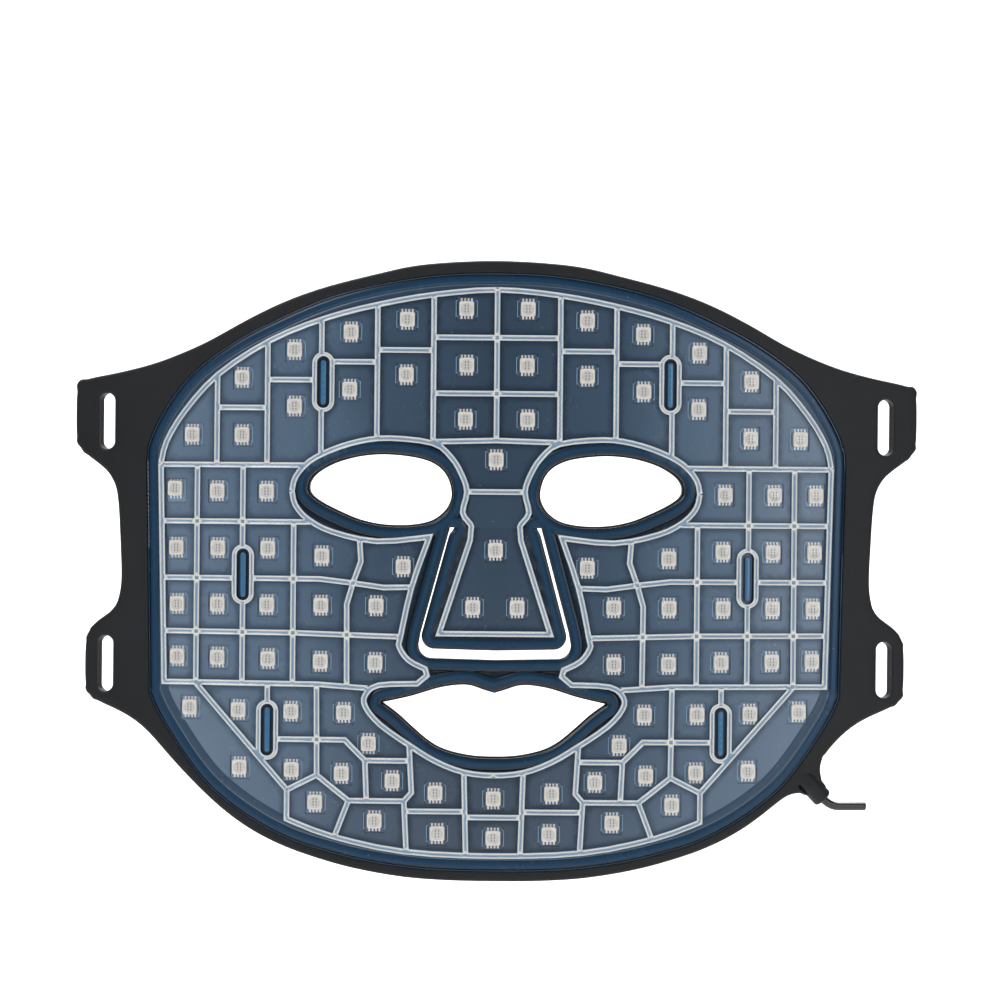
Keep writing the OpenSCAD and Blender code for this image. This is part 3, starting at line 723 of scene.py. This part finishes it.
splits = []
for side in (-1, 1):
    for start, end in ((UPPER_FROM, UPPER_END), (LOWER_TO, LOWER_END)):
        splits.append(line((side * SPLIT_X, start), (side * SPLIT_X, end)))
    for height in (UPPER_FROM, LOWER_TO):
        splits.append(line((side * SPLIT_X, height), (side * SPLIT_END_X, height), 6))
shell_pieces = sheet("shell", shell_edges, shell_front, SHELL_BACK, rings=(0.1, 0.3, 0.6, 1.0),
                     extra=[recess, bay], lines=splits, back_round=SHELL_ROUND, open_hinge=True,
                     region=shell_region, lean=SHELL_BACK - SHELL_FRONT)
for piece in shell_pieces:
    dress(piece, "black")
    if piece.name == "shell_body":
        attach(piece, "mask_body")
        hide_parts("outer_shell")
        continue
    corner = piece.name.replace("shell_", "")
    side = 1 if corner.endswith("right") else -1
    start, end = ((side * x * MM, 0, 0) for x in EAR_BEND)
    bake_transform(piece)
    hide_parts("strap_ear_" + corner)


def flap_front(p, edge):
    return RECESS + rounded(edge, 0.3)


piece = sheet("nose_flap_back", [flap_shell_edge], flap_front, SHELL_BACK, back_round=0.7, open_hinge=True)
blend_flap(dress(piece, "black"), "nose_flap_shell")


def swept(name, rings):
    """A skin over rings of points, whose last ring joins its first."""
    n = len(rings[0])
    verts = [p for ring in rings for p in ring]
    polys = []
    for k in range(len(rings)):
        a, b = k * n, (k + 1) % len(rings) * n
        polys += [(a + i, a + (i + 1) % n, b + (i + 1) % n, b + i) for i in range(n)]
    mesh = bpy.data.meshes.new(name)
    mesh.from_pydata([tuple(v) for v in verts], [], polys)
    bm = bmesh.new()
    bm.from_mesh(mesh)
    bmesh.ops.recalc_face_normals(bm, faces=bm.faces)
    bm.to_mesh(mesh)
    bm.free()
    return add(name, mesh)


def circle(centre, across, up, r, n=40):
    return [centre + (across * math.cos(t) + up * math.sin(t)) * r
            for t in (2 * math.pi * i / n for i in range(n))]


def boot():
    """Sleeve that swells out of the shell's flare, a wide web at first, to a rounded mouth."""
    start, full, tip, web = -6.0, 7.0, 1.3, 1.7
    profile = []
    for s in np.linspace(start, full, 20):
        r = tip + (BOOT_R - tip) * smoothstep((s - start) / (full - start))
        half_width = BOOT_R + (web * ((8 - s) / 14) ** 2 if s < full else 0.0)
        profile.append((s, r, half_width))
    corner = [math.radians(a) for a in range(15, 91, 15)]
    bore = CABLE_R + 0.05
    turned = [(s, BOOT_R) for s in (8, 9.5, BOOT_END - 1.0)]
    turned += [(BOOT_END - 1 + math.sin(a), BOOT_R - 1 + math.cos(a)) for a in corner]
    turned += [(BOOT_END, bore + 0.2), (BOOT_END - 0.2, bore), (3.0, bore), (start, 0.6)]
    profile += [(s, r, r) for s, r in turned]
    m = cable_frame()
    rings = []
    for s, r, half_width in profile:
        up = Vector((0, 0, half_width / r))
        rings.append([m @ p for p in circle(Vector((s, CABLE_Y, 0)), Vector((0, 1, 0)), up, r)])
    return swept("cable_boot", rings)


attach(dress(boot(), "black"), "mask_body")


def cable():
    """The jacket: straight through the boot, a bend up to level, and a short run."""
    path = [(s, 0.0, 0.0) for s in np.linspace(3.2, SWIVEL, 20)]
    turns = 24
    for k in range(1, turns + 1):
        t = CABLE_DROP * k / turns
        path.append((SWIVEL + CABLE_BEND_R * math.sin(t), CABLE_BEND_R * (1 - math.cos(t)), t))
    x, z, t = path[-1]
    path += [(x + math.cos(t) * r, z + math.sin(t) * r, t) for r in np.linspace(0.6, CABLE_RUN, 12)]
    m = cable_frame()

    def ring(x, z, t, r):
        up = Vector((-math.sin(t), 0, math.cos(t)))
        return [m @ p for p in circle(Vector((x, CABLE_Y, z)), Vector((0, 1, 0)), up, r)]
    x, z, t = path[-1]
    outer = [ring(*p, CABLE_R) for p in path[:-1]]
    chamfer = 0.25
    outer.append(ring(x - math.cos(t) * chamfer, z - math.sin(t) * chamfer, t, CABLE_R))
    lip = [ring(x, z, t, CABLE_R - 0.15), ring(x, z, t, CABLE_R - 0.3)]
    inner = [ring(*p, CABLE_R - 0.35) for p in reversed(path[:-1])]
    return swept("cable_cord", outer + lip + inner)


cord = dress(cable(), "cable")
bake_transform(cord)
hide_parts("cable_jacket", "tail_jacket")


# ---- liner, sealant, ribs and studs ----

border_walls = Walls([liner_edge])
rim_walls = Walls(liner_openings + [flap_edge], open_hinge=True)
rib_walls = Walls(grid_loops + [flap_rib_edge], open_hinge=True)
ring_holes = [lo for lo in grid_loops[1:]
              if any(inside(opening.mean(0)[None], [lo])[0] for opening in liner_openings)]
flap_middle = flap_rib_edge[convex_hull_2d([Vector(p) for p in flap_rib_edge])]


def in_ring(p):
    """1 between an opening and the rib that runs round it."""
    on_flap = p[:, 1] < HINGE_Z
    on_flap &= inside(p, [flap_edge])
    return np.where(on_flap, ~inside(p, [flap_middle]), inside(p, ring_holes)).astype(float)


VALUES = {
    "rim": rim_walls.distance, "border": border_walls.distance, "rib": rib_walls.distance, "ring": in_ring,
}
# Widths of the liner's pillow-shaped bands: two side by side in its border, and the openings' rims
ROLL_END = 3.1
LEDGE_START = 3.3
LEDGE_END = 6.1
RIM_END = 4.3


def liner_front(p, edge):
    border = border_walls.distance(p)
    lift = hump(border, 0.0, ROLL_END, 0.55) + hump(border, LEDGE_START, LEDGE_END, 0.15)
    lift = np.maximum(lift, hump(rim_walls.distance(p), 0.0, RIM_END, 0.8))
    return LINER_FRONT - lift + rounded(edge, 0.2)


bands = [shifted(liner_edge, (ROLL_END + LEDGE_START) / 2), shifted(liner_edge, LEDGE_END)]
bands += [shifted(lo, RIM_END) for lo in liner_openings]
piece = sheet("liner", liner_loops, liner_front, LINER_BACK, rings=(0.15, 0.5, 1.1), extra=bands,
              values=VALUES, open_hinge=True)
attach(dress(piece, "liner"), "mask_body")
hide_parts("face_liner")
piece = sheet("nose_liner", [flap_edge] + flap_windows, liner_front, LINER_BACK, step=1.6,
              rings=(0.15, 0.5, 1.1), values=VALUES, open_hinge=True)
blend_flap(dress(piece, "liner"), "nose_flap_liner")


BEAD_FRONT = -1.65
BEAD_BACK = 0.05
BEAD_OUT = 0.65
BEAD_IN = 0.03


def bead_front(p, edge):
    return BEAD_FRONT + rounded(edge, 0.29)


bead_loops = [shifted(liner_edge, -BEAD_OUT), shifted(liner_edge, -BEAD_IN)[::-1]]
piece = sheet("sealant_bead", bead_loops, bead_front, BEAD_BACK, step=5.0, rings=(0.1, 0.2))
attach(dress(piece, "sealant"), "mask_body")
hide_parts("edge_sealant")


RIB_ROUND = 0.45
RIB_DIP = 0.3


def rib_front(p, edge):
    """Rounded edges with a shallow dip along the rib's middle."""
    return GRID_FRONT + rounded(edge, RIB_ROUND) + RIB_DIP * np.clip((edge - RIB_ROUND) / 0.4, 0, 1)


RIB_RINGS = (0.12, 0.3, 0.55, 0.9)
piece = sheet("ribs", grid_loops, rib_front, GRID_BACK, rings=RIB_RINGS, edge_step=1.8, open_hinge=True)
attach(dress(piece, "grid"), "mask_body")
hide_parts("cell_grid")
piece = sheet("nose_ribs", [flap_rib_edge], rib_front, GRID_BACK, rings=RIB_RINGS, edge_step=1.8,
              open_hinge=True)
blend_flap(dress(piece, "grid"), "nose_cell_grid")


STUD_FLOOR = -0.32
STUD_TOP = -1.76
STUD_FLANGE = 1.0
STUD_SIZE = (4.1, 17.4)


def stud_front(p, edge):
    """A low flange, and inside it the raised core."""
    return np.where(edge < STUD_FLANGE, STUD_FLOOR, STUD_TOP + rounded(edge - STUD_FLANGE, 0.6))


studs = [obround(lo.mean(0), *STUD_SIZE) for lo in pits]
piece = sheet("studs", studs, stud_front, LINER_BACK, step=1.0, rings=(0.4, 0.98, 1.06, 1.2, 1.5),
              edge_step=0.8)
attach(dress(piece, "stud"), "mask_body")
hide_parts("bond_studs")


# ---- LEDs ----

LED_BACK = -0.47
LED_FRONT = -1.97
LED_HALF = 2.5
LEAD_PITCH = 1.15
DIE_HALF = (0.2, 0.33)
DIE_COLUMNS = (-0.52, 0.52)
DIE_ROWS = (-0.95, 0, 0.95)
# Light blue strips beside each LED window: painted glints where the window's walls catch the light
GLINT_X = 3.56
GLINT_HALF = 2.8
# Within this distance of the middle a package has a painted glint strip, for the light on its window's
# wall, on both sides, and beyond it only on the side that faces the middle
TWO_GLINTS = 56.0
# Points in each ring of a package, and the numbers of its materials
RING = 32
BODY, LENS, LEAD, DIE, WINDOW_GLINT = range(5)


def square_ring(half, y, corner=0.35):
    out = []
    for k in range(RING):
        t = 2 * math.pi * (k + 0.5) / RING
        c, s = math.cos(t), math.sin(t)
        x, z = np.array([c, s]) * half / max(abs(c), abs(s))
        inner = half - corner
        dx, dz = max(0, abs(x) - inner), max(0, abs(z) - inner)
        far = math.hypot(dx, dz)
        if dx > 0 and dz > 0 and far > corner:
            x = math.copysign(inner + dx * corner / far, x)
            z = math.copysign(inner + dz * corner / far, z)
        out.append((x, y, z))
    return out


def round_ring(r, y):
    turns = [2 * math.pi * (k + 0.5) / RING for k in range(RING)]
    return [(r * math.cos(t), y, r * math.sin(t)) for t in turns]


def ring_faces(bm, rings, material):
    """Skins over rings of points and closes both ends."""
    rows = [[bm.verts.new(p) for p in ring] for ring in rings]
    faces = []
    for a, b in zip(rows, rows[1:]):
        n = len(a)
        faces += [bm.faces.new((a[i], a[(i + 1) % n], b[(i + 1) % n], b[i])) for i in range(n)]
    faces.append(bm.faces.new(rows[0][::-1]))
    faces.append(bm.faces.new(rows[-1]))
    for face in faces:
        face.material_index = material


def block(bm, low, high, material, chamfer=0.05):
    """A small block whose front edges are chamfered."""
    (x0, y0, z0), (x1, y1, z1) = low, high

    def ring(y, inset):
        left, right, bottom, top = x0 + inset, x1 - inset, z0 + inset, z1 - inset
        return [(left, y, bottom), (right, y, bottom), (right, y, top), (left, y, top)]
    ring_faces(bm, [ring(y1, 0), ring(y0 + chamfer, 0), ring(y0, chamfer)], material)


def lead(bm, x, way):
    """A gull-wing lead, from the package's side down to its solder pad."""
    run = [(2.3, -0.8), (2.72, -0.78), (2.92, -0.47), (3.5, -0.45)]
    w, t = 0.31, 0.2
    rings = []
    for z, y in run:
        front, back = way * z, way * (z - 0.03)
        rings.append([(x - w, y, front), (x + w, y, front), (x + w, y + t, back), (x - w, y + t, back)])
    ring_faces(bm, rings, LEAD)


def led(bm, sides):
    """One package about the origin, in mm: body with a cup, lens, six dies, leads, and light strips beside
    the window that are painted glints of its walls.
    """
    ring_faces(bm, [
        square_ring(LED_HALF, LED_BACK), square_ring(LED_HALF, LED_FRONT + 0.14),
        square_ring(LED_HALF - 0.12, LED_FRONT), round_ring(2.14, LED_FRONT),
        round_ring(2.02, LED_FRONT + 0.1), round_ring(1.78, LED_FRONT + 0.44),
        round_ring(0.8, LED_FRONT + 0.46)], BODY)
    ring_faces(bm, [round_ring(1.86, LED_FRONT + 0.42), round_ring(1.82, LED_FRONT + 0.30),
                    round_ring(1.2, LED_FRONT + 0.26), round_ring(0.5, LED_FRONT + 0.24)], LENS)
    w, h = DIE_HALF
    for column in DIE_COLUMNS:
        for row in DIE_ROWS:
            low = (column - w, LED_FRONT + 0.19, row - h)
            high = (column + w, LED_FRONT + 0.33, row + h)
            block(bm, low, high, DIE)
    for i in range(4):
        for way in (-1, 1):
            lead(bm, (i - 1.5) * LEAD_PITCH, way)
    # Painted glints: a thin light strip with hooked ends beside the window's wall
    for side in sides:
        x = side * GLINT_X
        w = 0.15
        block(bm, (x - w, -1.2, -GLINT_HALF), (x + w, -1.0, GLINT_HALF), WINDOW_GLINT, 0.08)
        for end in (-1, 1):
            a, b = sorted((x - side * w, x - side * 0.6))
            z = end * (GLINT_HALF - 0.13)
            block(bm, (a, -1.2, z - 0.13), (b, -1.0, z + 0.13), WINDOW_GLINT, 0.08)


def leds(name, places):
    bm = bmesh.new()
    for x, z in places:
        sides = (-1, 1) if abs(x) < TWO_GLINTS else (-math.copysign(1, x),)
        one = bmesh.new()
        led(one, sides)
        bmesh.ops.recalc_face_normals(one, faces=one.faces)
        one.transform(on_sheet(x, z))
        part = bpy.data.meshes.new("part")
        one.to_mesh(part)
        one.free()
        bm.from_mesh(part)
        bpy.data.meshes.remove(part)
    mesh = bpy.data.meshes.new(name)
    bm.to_mesh(mesh)
    bm.free()
    return dress(add(name, mesh, 30), "led_body", "led_lens", "lead", "die", "window_glint")


face_leds = leds("leds", [lo.mean(0) for lo in windows])
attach(face_leds, "mask_body")
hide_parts("led_bodies", "led_lenses", "led_leads")
nose_leds = leds("nose_leds", [lo.mean(0) for lo in flap_windows])
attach(nose_leds, "nose_flap")
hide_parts("nose_led_bodies", "nose_led_lenses", "nose_led_leads")


# ---- pieces that keep their CAD shape ----

CARRIED = {
    "led_board": "board", "nose_flap_board": "board", "current_resistors": "resistor",
    "solder_joints": "solder",
    "wire_potting": "potting", "cable_grommet": "core", "cable_core_red": "red", "cable_core_black": "core",
    "tail_core_red": "red", "tail_core_black": "core",
}
for node, material in CARRIED.items():
    dress(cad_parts[node], material)


# ---- stage, lights and camera ----

FLOOR_Z = -0.12
STAGE_HALF = 3.0
CURVE_START = 0.9
CURVE_R = 0.6
CAMERA_AWAY = 2.0
CAMERA_AT = (0.0014, 0.1289)
CAMERA_ROLL = 0.5
SENSOR = 36.0
# Width of what the camera sees at the mask
VIEW_WIDTH = 0.340


def stage():
    """Pale floor, low enough to hold no shadow in view, that curves up into a backdrop."""
    profile = [(-2.5, 0.0), (CURVE_START, 0.0)]
    profile += [(CURVE_START + CURVE_R * math.sin(t), CURVE_R - CURVE_R * math.cos(t))
                for t in np.radians(range(6, 91, 6))]
    profile += [(CURVE_START + CURVE_R, 2.6)]
    verts = [(x, y, z + FLOOR_Z) for y, z in profile for x in (-STAGE_HALF, STAGE_HALF)]
    polys = [(2 * i, 2 * i + 1, 2 * i + 3, 2 * i + 2) for i in range(len(profile) - 1)]
    mesh = bpy.data.meshes.new("backdrop")
    mesh.from_pydata(verts, [], polys)
    obj = add("backdrop", mesh)
    m = Look("pale_paper")
    paper = m.mix(m.noise(30.0), (0.86, 0.86, 0.86), (0.9, 0.9, 0.9))
    obj.data.materials.append(m.finish(Base_Color=paper, Roughness=0.8))


def light(name, at, target, size, power):
    data = bpy.data.lights.new(name, "AREA")
    data.shape = "RECTANGLE"
    data.size, data.size_y = size
    data.energy = power
    obj = bpy.data.objects.new(name, data)
    bpy.context.scene.collection.objects.link(obj)
    obj.location = at
    obj.rotation_euler = (Vector(target) - Vector(at)).to_track_quat("-Z", "Y").to_euler()


def camera():
    data = bpy.data.cameras.new("camera")
    data.sensor_width = SENSOR
    data.lens = SENSOR * CAMERA_AWAY / VIEW_WIDTH
    obj = bpy.data.objects.new("camera", data)
    bpy.context.scene.collection.objects.link(obj)
    x, z = CAMERA_AT
    place = Matrix.Translation((x, -CAMERA_AWAY, z)) @ Matrix.Rotation(math.radians(90), 4, "X")
    obj.matrix_world = place @ Matrix.Rotation(math.radians(CAMERA_ROLL), 4, "Z")
    bpy.context.scene.camera = obj


stage()
light("key", (-0.9, -1.3, 1.2), (0, 0, 0.1), (0.9, 0.7), 12)
light("fill", (1.1, -1.4, 0.5), (0, 0, 0.1), (0.9, 0.9), 6)
light("top", (0, 0.0, 1.4), (0, 0, 0.1), (1.4, 0.7), 10)
light("backdrop_light", (0, 0.6, 1.7), (0, 1.5, 0.3), (2.4, 0.6), 60)
world = bpy.data.worlds.new("studio")
world.use_nodes = True
world.node_tree.nodes["Background"].inputs["Color"].default_value = (0.93, 0.96, 1.0, 1)
world.node_tree.nodes["Background"].inputs["Strength"].default_value = 0.24
bpy.context.scene.world = world
bpy.context.scene.view_settings.view_transform = "Standard"
camera()
